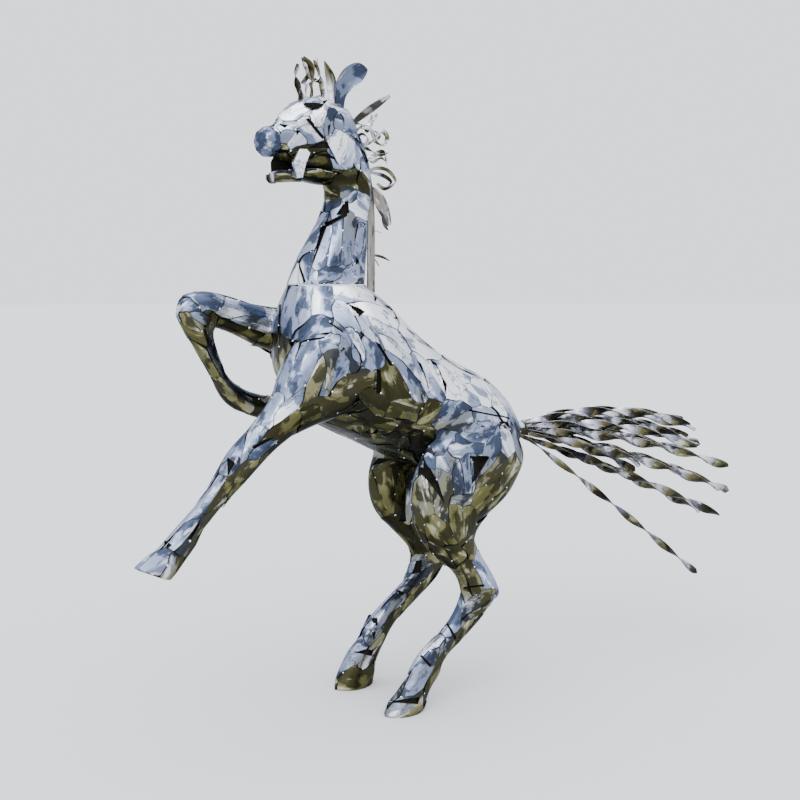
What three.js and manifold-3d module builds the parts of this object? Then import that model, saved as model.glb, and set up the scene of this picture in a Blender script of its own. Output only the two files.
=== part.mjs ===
// A rearing horse, a garden statue welded from curved plates of polished stainless steel.
// Millimetres, +Z up. The head is towards -X and the horse's left side towards -Y.
import * as THREE from "three";
import { mergeVertices } from "three/addons/utils/BufferGeometryUtils.js";
import Module from "manifold-3d";

const wasm = await Module();
wasm.setup();

// Driving dimensions
const SEAM_Z = 1600; // the level seam at the neck's base
const GAP = 0.4; // what touching pieces keep between them
const LEFT_HIND_Y = -172; // each leg from the middle
const RIGHT_HIND_Y = 184;
const FORE_Y = 158;
const TRUNK_SIDES = 18;
const NECK_SIDES = 16;
const LIMB_SIDES = 10;
const RINGS_PER_SPAN = 2;
const STRIP_THICK = 3; // the flat bar of the tail, mane and forelock
const TAIL_WIDTH = 36;
const TAIL_ROOT_WIDTH = 9;
const TAIL_PITCH = 260; // length of a tail strip's half-turn
const TAIL_ROOT_SPACING = 15;
const DOCK_END = 728; // the flat end of the dock, behind the rump
const DOCK_Z = 1002;
const DOCK_RADIUS = 40;

const steel = new THREE.MeshStandardMaterial({ color: 0xaab2c0, roughness: 0.25, metalness: 1 });
const stripSteel = new THREE.MeshStandardMaterial({ color: 0x8b8a80, roughness: 0.22, metalness: 1 });
const muzzleSteel = new THREE.MeshStandardMaterial({ color: 0x7f93b0, roughness: 0.2, metalness: 1 });

// A station is one cross-section: [front x, front z, back x, back z, middle y, half width].
// The front and back points lie on the outline seen from the side.
const TRUNK = [
  [-375, SEAM_Z, -75, SEAM_Z, 0, 125],
  [-402, 1520, -25, 1562, 0, 168],
  [-425, 1425, 35, 1515, 0, 210],
  [-418, 1305, 100, 1455, 0, 240],
  [-360, 1185, 175, 1392, 0, 258],
  [-250, 1085, 260, 1340, 0, 262],
  [-140, 1035, 345, 1300, 0, 256],
  [-30, 985, 430, 1265, 0, 240],
  [80, 935, 505, 1225, 0, 224],
  [190, 890, 565, 1180, 0, 212],
  [310, 850, 615, 1120, 0, 194],
  [420, 845, 648, 1050, 0, 160],
  [510, 870, 666, 985, 0, 112],
  [575, 905, 658, 945, 0, 52],
];

const NECK = [
  [-375, SEAM_Z + GAP, -75, SEAM_Z + GAP, 0, 125],
  [-335, 1690, -68, 1690, 0, 112],
  [-292, 1762, -62, 1765, 0, 98],
  [-248, 1830, -52, 1838, 0, 84],
  [-225, 1880, -44, 1900, 0, 76],
  [-222, 1935, -36, 1975, 0, 72],
  [-224, 1985, -46, 2050, 0, 72],
  [-232, 2035, -74, 2118, 0, 68],
  [-240, 2080, -112, 2166, 0, 58],
  [-245, 2120, -160, 2190, 0, 40],
];

const HEAD = [
  [-104, 2182, -112, 2120, 0, 34],
  [-140, 2232, -150, 2040, 0, 72],
  [-190, 2258, -205, 2000, 0, 88],
  [-250, 2270, -270, 1990, 0, 92],
  [-305, 2262, -325, 2006, 0, 84],
  [-355, 2235, -365, 2022, 0, 70],
  [-395, 2206, -402, 2036, 0, 58],
  [-424, 2168, -426, 2048, 0, 50],
  [-455, 2150, -455, 2050, 0, 46],
];

const JAW = [
  [-215, 2060, -215, 1955, 0, 66],
  [-270, 2040, -268, 1956, 0, 64],
  [-320, 2018, -318, 1968, 0, 55],
  [-370, 2002, -367, 1966, 0, 47],
  [-415, 1999, -410, 1952, 0, 40],
  [-452, 1994, -440, 1952, 0, 32],
];

// Plates from the upper to the lower jaw: [name, left y, right y, corners [x, z]]. The left one
// hangs from the cheek, and the right one closes the open mouth's far side.
const JAW_PLATES = [
  ["left_jaw_plate", -68, -50,
    [[-392, 2022], [-365, 2072], [-318, 2074], [-344, 2014], [-356, 1973], [-377, 1970]]],
  ["right_jaw_plate", 28, 38,
    [[-402, 2075], [-428, 2030], [-425, 1985], [-390, 1980], [-300, 1980], [-288, 2090]]],
];

const LEFT_FORELEG = [
  [-260, 1500, 0, 1400, -105, 60],
  [-405, 1425, -90, 1270, -132, 88],
  [-488, 1340, -225, 1160, -FORE_Y, 96],
  [-522, 1250, -360, 1112, -FORE_Y, 84],
  [-577, 1166, -470, 1082, -FORE_Y, 66],
  [-650, 1095, -562, 1020, -FORE_Y, 52],
  [-712, 1040, -605, 975, -FORE_Y, 50],
  [-745, 985, -645, 938, -FORE_Y, 48],
  [-785, 925, -705, 888, -FORE_Y, 38],
  [-845, 862, -768, 832, -FORE_Y, 34],
  [-902, 808, -812, 785, -FORE_Y, 36],
  [-932, 770, -822, 745, -FORE_Y, 42],
  [-960, 748, -868, 705, -FORE_Y, 38],
  [-992, 738, -885, 680, -FORE_Y, 44],
  [-1045, 698, -920, 645, -FORE_Y, 56],
];

const RIGHT_FORELEG = [
  [-150, 1500, -150, 1300, 110, 60],
  [-290, 1520, -310, 1330, 142, 78],
  [-400, 1525, -425, 1372, FORE_Y, 66],
  [-480, 1545, -500, 1410, FORE_Y, 56],
  [-560, 1566, -565, 1442, FORE_Y, 51],
  [-650, 1582, -602, 1446, FORE_Y, 50],
  [-725, 1555, -606, 1428, FORE_Y, 50],
  [-740, 1490, -605, 1408, FORE_Y, 46],
  [-705, 1425, -595, 1378, FORE_Y, 38],
  [-655, 1350, -570, 1312, FORE_Y, 34],
  [-612, 1275, -535, 1255, FORE_Y, 36],
  [-575, 1195, -500, 1240, FORE_Y, 40],
  [-520, 1150, -470, 1215, FORE_Y, 38],
  [-480, 1130, -440, 1205, FORE_Y, 44],
  [-400, 1100, -372, 1195, FORE_Y, 54],
];

const LEFT_HIND_LEG = [
  [300, 1180, 560, 1060, -112, 60],
  [180, 1085, 582, 965, -148, 94],
  [85, 980, 572, 885, LEFT_HIND_Y, 106],
  [38, 870, 516, 802, LEFT_HIND_Y, 102],
  [32, 770, 425, 742, LEFT_HIND_Y, 90],
  [68, 680, 356, 692, LEFT_HIND_Y, 78],
  [122, 605, 334, 625, LEFT_HIND_Y, 60],
  [200, 530, 372, 545, LEFT_HIND_Y, 48],
  [262, 468, 425, 470, LEFT_HIND_Y, 44],
  [272, 410, 455, 395, LEFT_HIND_Y, 42],
  [240, 345, 345, 290, LEFT_HIND_Y, 38],
  [172, 278, 240, 208, LEFT_HIND_Y, 34],
  [92, 222, 165, 152, LEFT_HIND_Y, 38],
  [42, 178, 165, 120, LEFT_HIND_Y, 44],
  [25, 125, 122, 78, LEFT_HIND_Y, 38],
  [-15, 95, 105, 55, LEFT_HIND_Y, 46],
  [-86, 0, 92, 0, LEFT_HIND_Y, 60],
];

const RIGHT_HIND_LEG = [
  [310, 1180, 560, 1065, 112, 60],
  [200, 1085, 582, 975, 148, 92],
  [122, 985, 572, 895, 176, 102],
  [90, 885, 520, 820, RIGHT_HIND_Y, 98],
  [82, 795, 440, 765, RIGHT_HIND_Y, 88],
  [106, 712, 372, 720, RIGHT_HIND_Y, 76],
  [152, 650, 350, 662, RIGHT_HIND_Y, 60],
  [215, 592, 385, 592, RIGHT_HIND_Y, 48],
  [278, 528, 436, 520, RIGHT_HIND_Y, 44],
  [290, 462, 464, 445, RIGHT_HIND_Y, 42],
  [250, 394, 360, 342, RIGHT_HIND_Y, 38],
  [160, 318, 250, 262, RIGHT_HIND_Y, 34],
  [84, 272, 175, 200, RIGHT_HIND_Y, 38],
  [50, 222, 155, 160, RIGHT_HIND_Y, 44],
  [30, 176, 120, 118, RIGHT_HIND_Y, 38],
  [-22, 140, 108, 82, RIGHT_HIND_Y, 46],
  [-88, 0, 94, 0, RIGHT_HIND_Y, 60],
];

// Each tail strip: [end x, end y, end z, rise of its bow, row from the top, column from the left].
const TAIL = [
  [1690, -62, 960, 56, 0, 1],
  [1810, 6, 925, 50, 0, 2],
  [1810, 78, 955, 50, 0, 3],
  [1660, -128, 865, 48, 1, 0],
  [1665, -60, 900, 48, 1, 1],
  [1840, 4, 850, 44, 1, 2],
  [1840, 78, 880, 44, 1, 3],
  [1780, 150, 905, 46, 1, 4],
  [2085, 25, 600, 34, 3, 2],
  [1895, -120, 755, 34, 2, 0],
  [1775, -54, 800, 38, 2, 1],
  [1940, 14, 760, 36, 2, 2],
  [1820, 84, 800, 38, 2, 3],
  [1755, 150, 825, 40, 2, 4],
  [1850, -118, 655, 24, 3, 0],
  [1370, -28, 770, 28, 3, 1],
  [1900, 92, 680, 30, 3, 3],
  [1595, 150, 755, 32, 3, 4],
  [1790, -40, 245, 8, 4, 1],
  [2015, 22, 485, 18, 4, 2],
  [1965, 100, 500, 20, 4, 3],
];

// Strips of the mane, each [root and further points of its path, full width, turns].
const MANE = [
  [[[-135, 0, 2165], [-60, 0, 2222], [0, 0, 2262], [58, 0, 2300]], 30, 0],
  [[[-105, 14, 2130], [-60, 18, 2178], [-22, 20, 2190], [-8, 18, 2226]], 15, 0.5],
  [[[-90, -12, 2080], [-30, -20, 2130], [10, -24, 2168], [38, -16, 2140], [14, -4, 2112]], 18, 0.75],
  [[[-80, 12, 2040], [-10, 22, 2072], [45, 26, 2096], [58, 20, 2062]], 20, 1],
  [[[-70, -6, 2000], [-10, -10, 2030], [42, -12, 2024], [78, -8, 1984], [36, 2, 1958],
    [6, 8, 1976]], 22, 0.5],
  [[[-50, 4, 1960], [0, 4, 1930], [34, 4, 1880], [58, 4, 1822]], 54, 0],
  [[[-24, 0, 1712], [14, -6, 1706], [52, -10, 1690]], 13, 0.25],
];

// Strips of the forelock, in the same form.
const FORELOCK = [
  [[[-322, 6, 2220], [-332, 0, 2290], [-346, -6, 2330], [-338, -8, 2372]], 24, 1],
  [[[-286, -4, 2225], [-280, -8, 2310], [-286, -12, 2365], [-320, -14, 2396]], 30, 0.5],
  [[[-262, 22, 2225], [-262, 30, 2310], [-272, 34, 2360], [-292, 36, 2400]], 24, 0.75],
  [[[-240, 0, 2225], [-232, 2, 2290], [-240, 6, 2345], [-262, 8, 2396]], 22, 1],
];

// Dark openings between plates, each the corners [x, z] of its outline seen from the side.
const TRUNK_OPENINGS = [
  [[-267, 1558], [-172, 1508], [-221, 1484], [-235, 1521]],
  [[-58, 1532], [-30, 1523], [5, 1470], [-24, 1482]],
  [[-167, 1402], [-146, 1392], [-90, 1305], [-106, 1312]],
  [[14, 1328], [36, 1310], [60, 1218], [38, 1228]],
  [[99, 1320], [128, 1303], [141, 1214], [121, 1224]],
  [[-174, 1304], [-150, 1304], [-146, 1214], [-170, 1215]],
  [[-142, 1066], [-116, 1093], [-98, 1062]],
  [[0, 1052], [62, 1066], [64, 968], [34, 984]],
];
const NECK_OPENINGS = [
  [[-262, 1802], [-240, 1826], [-293, 1723], [-325, 1655]],
  [[-140, 1827], [-96, 1829], [-124, 1804]],
  [[-163, 1714], [-138, 1682], [-182, 1662]],
];
const THIGH_OPENINGS = [
  [[56, 926], [93, 921], [138, 784]],
  [[242, 966], [338, 958], [249, 858]],
];
const OPENING_DEPTH = 22;
const OPENING_REACH = 400; // from the middle plane to well outside the left side

const at = (x, y, z) => new THREE.Vector3(x, y, z);

// Closed skin over rings of points, each ring going the same way round, with flat ends.
// From the side numbered turned onwards, the diagonals run the other way.
function skin(rings, turned = Infinity) {
  const sides = rings[0].length;
  const points = rings.flat();
  const faces = [];
  for (let i = 0; i + 1 < rings.length; i++)
    for (let k = 0; k < sides; k++) {
      const a = i * sides + k;
      const b = i * sides + ((k + 1) % sides);
      if (k < turned) faces.push(a, b, a + sides, b, b + sides, a + sides);
      else faces.push(a, b, b + sides, a, b + sides, a + sides);
    }
  for (const [ring, last] of [[0, false], [rings.length - 1, true]]) {
    const middle = at(0, 0, 0);
    for (const p of rings[ring]) middle.addScaledVector(p, 1 / sides);
    points.push(middle);
    for (let k = 0; k < sides; k++) {
      const a = ring * sides + k;
      const b = ring * sides + ((k + 1) % sides);
      faces.push(points.length - 1, last ? a : b, last ? b : a);
    }
  }
  return facingOut(new THREE.BufferGeometry().setFromPoints(points).setIndex(faces));
}

// Turns every face round where the volume that they enclose is negative.
function facingOut(geometry) {
  const corner = (i) => at(0, 0, 0).fromBufferAttribute(geometry.attributes.position, i);
  const index = geometry.index.array;
  let volume = 0;
  for (let i = 0; i < index.length; i += 3)
    volume += corner(index[i]).dot(corner(index[i + 1]).cross(corner(index[i + 2])));
  if (volume < 0)
    for (let i = 0; i < index.length; i += 3)
      [index[i + 1], index[i + 2]] = [index[i + 2], index[i + 1]];
  return geometry;
}

// The elliptical rings of a loft through stations. grow moves its skin outwards.
function loftRings(stations, sides, grow = 0) {
  const through = (pick) => new THREE.CatmullRomCurve3(stations.map(pick));
  const front = through(([x, z]) => at(x, 0, z));
  const back = through(([, , x, z]) => at(x, 0, z));
  const side = through(([, , , , y, w]) => at(y, w, 0));
  const last = (stations.length - 1) * RINGS_PER_SPAN;
  const rings = [];
  for (let i = 0; i <= last; i++) {
    const f = front.getPoint(i / last);
    const b = back.getPoint(i / last);
    const { x: y, y: w } = side.getPoint(i / last);
    const middle = f.clone().add(b).multiplyScalar(0.5);
    const half = f.clone().sub(middle);
    half.setLength(half.length() + grow);
    const ring = [];
    for (let k = 0; k < sides; k++) {
      const turn = (2 * Math.PI * k) / sides;
      const p = middle.clone().addScaledVector(half, Math.cos(turn));
      p.y = y + (w + grow) * Math.sin(turn);
      ring.push(p);
    }
    rings.push(ring);
  }
  for (const [end, next] of [[0, 1], [last, last - 1]]) {
    const outwards = rings[end][0].clone().sub(rings[next][0]).setLength(grow);
    for (const p of rings[end]) p.add(outwards);
  }
  return rings;
}

const loft = (stations, sides, grow) => skin(loftRings(stations, sides, grow));

// A thin strip along a smooth path. widthAt gives its full width from 0 at the root to 1 at the
// tip, turns is how far it twists, phase where the twist starts, cup how much it is hollowed.
function strip(path, steps, widthAt, options = {}) {
  const { turns = 0, phase = 0, cup = 0, across = 1, thick = STRIP_THICK } = options;
  const curve = new THREE.CatmullRomCurve3(path);
  const rings = [];
  for (let i = 0; i <= steps; i++) {
    const t = i / steps;
    const along = curve.getTangent(t);
    const level = at(0, 1, 0).addScaledVector(along, -along.y).normalize();
    const wide = level.applyAxisAngle(along, phase + 2 * Math.PI * turns * t);
    const thin = along.clone().cross(wide);
    const half = widthAt(t) / 2;
    const row = (face) => {
      const points = [];
      for (let j = 0; j <= across; j++) {
        const u = (2 * j) / across - 1;
        const lift = (face * thick) / 2 + cup * half * u * u;
        points.push(curve.getPoint(t).addScaledVector(wide, u * half).addScaledVector(thin, lift));
      }
      return points;
    };
    rings.push([...row(1), ...row(-1).reverse()]);
  }
  return skin(rings, across + 1);
}

const ball = (middle, radii, sides) => new THREE.SphereGeometry(1, sides, sides / 2)
  .scale(...radii).translate(...middle);

function solid(geometry) {
  const bare = geometry.clone();
  bare.deleteAttribute("normal");
  bare.deleteAttribute("uv");
  const merged = mergeVertices(bare);
  return new wasm.Manifold(new wasm.Mesh({
    numProp: 3,
    vertProperties: merged.attributes.position.array,
    triVerts: new Uint32Array(merged.index.array),
  }));
}

function geometryOf(manifold) {
  const mesh = manifold.getMesh();
  return new THREE.BufferGeometry()
    .setAttribute("position", new THREE.BufferAttribute(mesh.vertProperties, 3))
    .setIndex(new THREE.BufferAttribute(mesh.triVerts, 1));
}

// What is left of one geometry outside the others, without loose slivers.
function outside(geometry, ...others) {
  let left = solid(geometry);
  for (const other of others) left = left.subtract(solid(other));
  const [largest] = left.decompose().sort((a, b) => b.volume() - a.volume());
  return geometryOf(largest);
}

// A flat outline of corners [x, z], thickened from one y to another.
function prism(outline, left, right) {
  const shape = new THREE.Shape(outline.map(([x, z]) => new THREE.Vector2(x, z)));
  return new THREE.ExtrudeGeometry(shape, { depth: right - left, bevelEnabled: false })
    .rotateX(Math.PI / 2).translate(0, right, 0);
}

// Sinks outlines into the left side of a lofted piece, to the same depth all over.
function withOpenings(geometry, outlines, stations, sides) {
  const core = solid(loft(stations, sides, -OPENING_DEPTH));
  let left = solid(geometry);
  for (const outline of outlines) {
    left = left.subtract(solid(prism(outline, -OPENING_REACH, 0)).subtract(core));
  }
  return geometryOf(left);
}

const joined = (...parts) => geometryOf(parts.map(solid).reduce((all, part) => all.add(part)));

const root = new THREE.Group();
function add(name, geometry, material = steel) {
  const mesh = new THREE.Mesh(geometry, material);
  mesh.name = name;
  root.add(mesh);
}

const trunkGrown = loft(TRUNK, TRUNK_SIDES, GAP);
const neckGrown = loft(NECK, NECK_SIDES, GAP);
const skullGrown = skull(GAP);

// The skull with a round jowl on each side.
function skull(grow) {
  const jowls = [-1, 1].map((side) => ball([-226, side * 58, 2086], [96 + grow, 44 + grow, 98 + grow], 10));
  return joined(loft(HEAD, NECK_SIDES, grow), ...jowls);
}

// The round cup over the nose.
const cup = (grow) => ball([-452, 0, 2096], [54 + grow, 58 + grow, 57 + grow], 10);

function addHead() {
  add("head", outside(skull(0), neckGrown));
  add("lower_jaw", outside(loft(JAW, LIMB_SIDES), skullGrown, neckGrown));
  const carriers = [skullGrown, neckGrown, loft(JAW, LIMB_SIDES, GAP), cup(GAP)];
  for (const [name, left, right, outline] of JAW_PLATES)
    add(name, outside(prism(outline, left, right), ...carriers));
  add("muzzle_cup", outside(cup(0), skullGrown), muzzleSteel);
  for (const [name, side] of [["left", -1], ["right", 1]])
    add(name + "_eye", outside(ball([-302, side * 54, 2232], [40, 30, 24], 10), skullGrown));
}

// Spoon-shaped ears: the left one lies back and the right one stands up.
function addEars() {
  const spoon = (t) => 16 + 62 * Math.sin(Math.PI * Math.min(1, t * 0.94) ** 1.7);
  const leaf = (t) => 16 + 40 * Math.sin(Math.PI * Math.min(1, t * 0.96) ** 1.4);
  const leftPath = [at(-190, -36, 2225), at(-192, -50, 2285), at(-168, -62, 2330), at(-130, -70, 2355),
    at(-88, -72, 2368)];
  const rightPath = [at(-185, 38, 2225), at(-160, 52, 2290), at(-158, 64, 2350), at(-182, 70, 2412)];
  const bend = { cup: 0.35, across: 2 };
  add("left_ear", outside(strip(leftPath, 10, spoon, { phase: Math.PI / 2, ...bend }), skullGrown));
  add("right_ear", outside(strip(rightPath, 10, leaf, { phase: 0.8, ...bend }), skullGrown));
}

// The bar behind the neck, which stands on the withers and bends in to the nape.
function crestBar(grow) {
  const path = [at(-20, 0, 1540), at(-17, 0, 1700), at(-19, 0, 1880), at(-34, 0, 1985), at(-60, 0, 2040)];
  return strip(path, 8, () => 18 + 2 * grow, { phase: Math.PI / 2, thick: 8 + 2 * grow });
}

// Curled strips, broad in the middle, standing on what they are cut by.
function addLocks(name, rows, ...carriers) {
  rows.forEach(([points, width, turns], i) => {
    const path = points.map((p) => at(...p));
    const widthAt = (t) => width * (0.45 + 0.55 * Math.sin(Math.PI * t));
    const steps = Math.round(3 + 4 * turns + points.length);
    const lock = strip(path, steps, widthAt, { turns, phase: Math.PI / 2 });
    add(`${name}_${i + 1}`, outside(lock, ...carriers), stripSteel);
  });
}

// Splits a limb's rings at the numbered stations into butted pieces.
function addLimb(side, names, stations, cuts, openings = []) {
  const rings = loftRings(stations, LIMB_SIDES);
  const bounds = [0, ...cuts.map((c) => c * RINGS_PER_SPAN), rings.length - 1];
  names.forEach((name, i) => {
    const piece = rings.slice(bounds[i], bounds[i + 1] + 1).map((ring) => ring.map((p) => p.clone()));
    if (i > 0) {
      const step = at(0, 0, 0);
      piece[1].forEach((p, k) => step.addScaledVector(p.clone().sub(piece[0][k]), 1 / piece[0].length));
      piece[0].forEach((p) => p.addScaledVector(step.clone().normalize(), GAP));
    }
    const bare = skin(piece);
    const geometry = i > 0 ? bare : outside(withOpenings(bare, openings, stations, LIMB_SIDES), trunkGrown);
    add(`${side}_${name}`, geometry);
  });
}

// The dock and the fan of twisted strips that leaves it.
function addTail() {
  const ring = (x, z, radius) => Array.from({ length: LIMB_SIDES }, (_, k) => {
    const turn = (2 * Math.PI * k) / LIMB_SIDES;
    return at(x, radius * Math.cos(turn), z + radius * Math.sin(turn));
  });
  const dock = skin([ring(630, DOCK_Z + 18, DOCK_RADIUS + 8), ring(690, DOCK_Z + 4, DOCK_RADIUS),
    ring(DOCK_END, DOCK_Z, DOCK_RADIUS)]);
  add("tail_dock", outside(dock, trunkGrown));
  TAIL.forEach(([x, y, z, rise, row, column], i) => {
    const start = at(DOCK_END + 3, (column - 2) * TAIL_ROOT_SPACING,
      DOCK_Z + (2 - row) * TAIL_ROOT_SPACING);
    const end = at(x, y, z);
    const path = [0, 0.2, 0.4, 0.6, 0.8, 1].map((t) => {
      const p = start.clone().lerp(end, t);
      p.z += rise * 4 * t * (1 - t);
      return p;
    });
    const length = start.distanceTo(end);
    const turns = Math.round(length / TAIL_PITCH) / 2;
    const width = (t) => TAIL_ROOT_WIDTH + (TAIL_WIDTH - TAIL_ROOT_WIDTH) * Math.min(1, 2 * t);
    const number = String(i + 1).padStart(2, "0");
    add("tail_strip_" + number, strip(path, Math.round(turns * 6), width, { turns, phase: i }), stripSteel);
  });
}

add("trunk", withOpenings(loft(TRUNK, TRUNK_SIDES), TRUNK_OPENINGS, TRUNK, TRUNK_SIDES));
add("neck", withOpenings(loft(NECK, NECK_SIDES), NECK_OPENINGS, NECK, NECK_SIDES));
addHead();
addEars();
add("crest_bar", outside(crestBar(0), trunkGrown, neckGrown));
addLocks("mane", MANE, neckGrown, skullGrown, crestBar(GAP));
addLocks("forelock", FORELOCK, skullGrown);
addLimb("left", ["upper_foreleg", "fore_cannon", "fore_hoof"], LEFT_FORELEG, [7, 13]);
addLimb("right", ["upper_foreleg", "fore_cannon", "fore_hoof"], RIGHT_FORELEG, [6, 13]);
addLimb("left", ["thigh", "hind_cannon", "hind_hoof"], LEFT_HIND_LEG, [8, 15], THIGH_OPENINGS);
addLimb("right", ["thigh", "hind_cannon", "hind_hoof"], RIGHT_HIND_LEG, [8, 15]);
addTail();

// The origin is at the middle of the whole, level with the hind soles.
const box = new THREE.Box3().setFromObject(root);
const middle = box.getCenter(at(0, 0, 0));
root.position.set(-middle.x, -middle.y, -box.min.z);

export default root;
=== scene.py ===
import math

import bmesh
import bpy
import numpy as np
from mathutils import Matrix, Vector
from mathutils.bvhtree import BVHTree


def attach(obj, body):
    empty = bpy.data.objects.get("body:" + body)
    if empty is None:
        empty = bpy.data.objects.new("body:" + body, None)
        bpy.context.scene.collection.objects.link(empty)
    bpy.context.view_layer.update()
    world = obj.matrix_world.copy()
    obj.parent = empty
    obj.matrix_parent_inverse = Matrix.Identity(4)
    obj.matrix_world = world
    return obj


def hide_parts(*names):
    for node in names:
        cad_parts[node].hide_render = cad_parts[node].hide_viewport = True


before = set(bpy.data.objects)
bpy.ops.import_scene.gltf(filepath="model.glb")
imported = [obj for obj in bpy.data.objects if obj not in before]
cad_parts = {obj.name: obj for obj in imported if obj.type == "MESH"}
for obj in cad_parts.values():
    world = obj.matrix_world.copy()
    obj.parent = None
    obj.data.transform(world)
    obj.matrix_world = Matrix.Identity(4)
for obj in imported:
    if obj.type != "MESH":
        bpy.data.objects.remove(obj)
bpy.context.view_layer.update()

rng = np.random.default_rng(7)

# The view: an eye 1.6 m above the ground, and its picture 800 by 800.
FOCUS = 1148.0  # focal length in pixels
MIDDLE = 400.0
EYE = np.array([-2.93251, -3.5935, 1.6])
AHEAD = np.array([0.5707, 0.8151, -0.0997])
AHEAD /= np.linalg.norm(AHEAD)
RIGHT = np.cross(AHEAD, [0, 0, 1])
RIGHT /= np.linalg.norm(RIGHT)
UP = np.cross(RIGHT, AHEAD)

# Strip tables count in millimetres from the point midway between the hind hooves.
HOOVES = np.array([-523.109, -2.196, 0.0])

SHEET = 0.003  # thickness of the plates
SEAMS = (0.0006, 0.0008, 0.001, 0.0014, 0.003)  # gaps between two plates
LIMIT = 0.007  # how far a plate may leave the form under it
NECK_BASE = 1.6  # height of the level seam between neck and trunk
BASE_SEAM = 0.0022  # half its width
DEEP = 1.3  # reach of a plate's cell through the skin, in half widths
TURNED = 0.5  # what a plate's distance gains where the skin turns away from it
COVERED = 1.7  # distance to the nearest plate at which the skin needs one more
FREE = 1.3  # and at which a mirrored plate finds room
NEAR = 0.03  # radius over which a normal is averaged
TONE_SPREAD = 0.22  # chance part of a plate's tone
OUTER_LOW, INNER_LOW, LINING_LOW = 0.0008, 0.0004, 0.003  # lowest points of plates and lining
GAP_DEPTH = 0.16  # how far before or behind its middle a gap in the view still cuts
OFF_VIEW = 0.5  # distance given to points that a gap doesn't concern
USUAL_DEPTH = 4.3  # depth of a gap whose middle meets no skin
MIRROR = np.array([1, -1, 1])
FLOOR_REACH = 90.0
FILM = 36  # width of the camera's film, mm


def unit(v):
    return v / np.maximum(np.linalg.norm(v, axis=-1, keepdims=True), 1e-12)


def seen_at(points):
    """Picture coordinates and depth of points."""
    r = points - EYE
    depth = r @ AHEAD
    return MIDDLE + FOCUS * (r @ RIGHT) / depth, MIDDLE - FOCUS * (r @ UP) / depth, depth


def line_through(px, py):
    return unit(AHEAD + RIGHT * (px - MIDDLE) / FOCUS + UP * (MIDDLE - py) / FOCUS)


def linked(name, data):
    obj = bpy.data.objects.new(name, data)
    bpy.context.scene.collection.objects.link(obj)
    return obj


# ---- triangle meshes as arrays ----
def with_area(tris):
    """The triangles whose three corners differ."""
    a, b, c = tris.T
    return tris[(a != b) & (b != c) & (a != c)]


def node_mesh(name):
    """Welded points and triangles of a CAD node."""
    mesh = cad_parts[name].data
    mesh.calc_loop_triangles()
    points = np.empty(len(mesh.vertices) * 3, np.float32)
    mesh.vertices.foreach_get("co", points)
    tris = np.empty(len(mesh.loop_triangles) * 3, np.int32)
    mesh.loop_triangles.foreach_get("vertices", tris)
    points = np.round(points.reshape(-1, 3).astype(float), 6)
    points, same = np.unique(points, axis=0, return_inverse=True)
    return points, with_area(same.reshape(-1)[tris].reshape(-1, 3))


def normals_of(points, tris):
    a, b, c = (points[tris[:, i]] for i in range(3))
    face = np.cross(b - a, c - a)
    out = np.stack([sum(np.bincount(tris[:, i], face[:, k], len(points)) for i in range(3))
                    for k in range(3)], 1)
    return unit(out)


def compact(points, tris, extra=None):
    used, back = np.unique(tris, return_inverse=True)
    tris = back.reshape(-1, 3)
    return (points[used], tris) if extra is None else (points[used], tris, extra[used])


def remeshed(points, tris, cell):
    """One even skin over closed meshes that touch or overlap."""
    mesh = bpy.data.meshes.new("form")
    mesh.from_pydata(points.tolist(), [], tris.tolist())
    obj = linked("form", mesh)
    mod = obj.modifiers.new("even", "REMESH")
    mod.mode = "VOXEL"
    mod.voxel_size = cell
    ready = obj.evaluated_get(bpy.context.evaluated_depsgraph_get())
    out = ready.to_mesh()
    out.calc_loop_triangles()
    new_points = np.empty(len(out.vertices) * 3, np.float32)
    out.vertices.foreach_get("co", new_points)
    new_tris = np.empty(len(out.loop_triangles) * 3, np.int32)
    out.loop_triangles.foreach_get("vertices", new_tris)
    ready.to_mesh_clear()
    bpy.data.objects.remove(obj)
    bpy.data.meshes.remove(mesh)
    return new_points.reshape(-1, 3).astype(float), new_tris.reshape(-1, 3)


def edges_of(tris):
    pairs = np.sort(np.concatenate([tris[:, [0, 1]], tris[:, [1, 2]], tris[:, [2, 0]]]), 1)
    return np.unique(pairs, axis=0)


def faired(points, tris, rounds):
    """Smooths without shrinking."""
    ends = edges_of(tris)
    both = np.concatenate([ends, ends[:, ::-1]])
    count = np.bincount(both[:, 0], minlength=len(points)).clip(1)
    for i in range(2 * rounds):
        mean = np.stack([np.bincount(both[:, 0], points[both[:, 1], k], len(points)) / count
                         for k in range(3)], 1)
        points = points + (0.55 if i % 2 == 0 else -0.57) * (mean - points)
    return points


def form_of(names, cell, rounds, grow=0.0006):
    """The joined skin of several CAD nodes."""
    parts = [node_mesh(n) for n in names]
    start, all_points, all_tris = 0, [], []
    for points, tris in parts:
        all_points.append(points + grow * normals_of(points, tris))
        all_tris.append(tris + start)
        start += len(points)
    points, tris = remeshed(np.concatenate(all_points), np.concatenate(all_tris), cell)
    return faired(points, tris, rounds), tris


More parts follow.
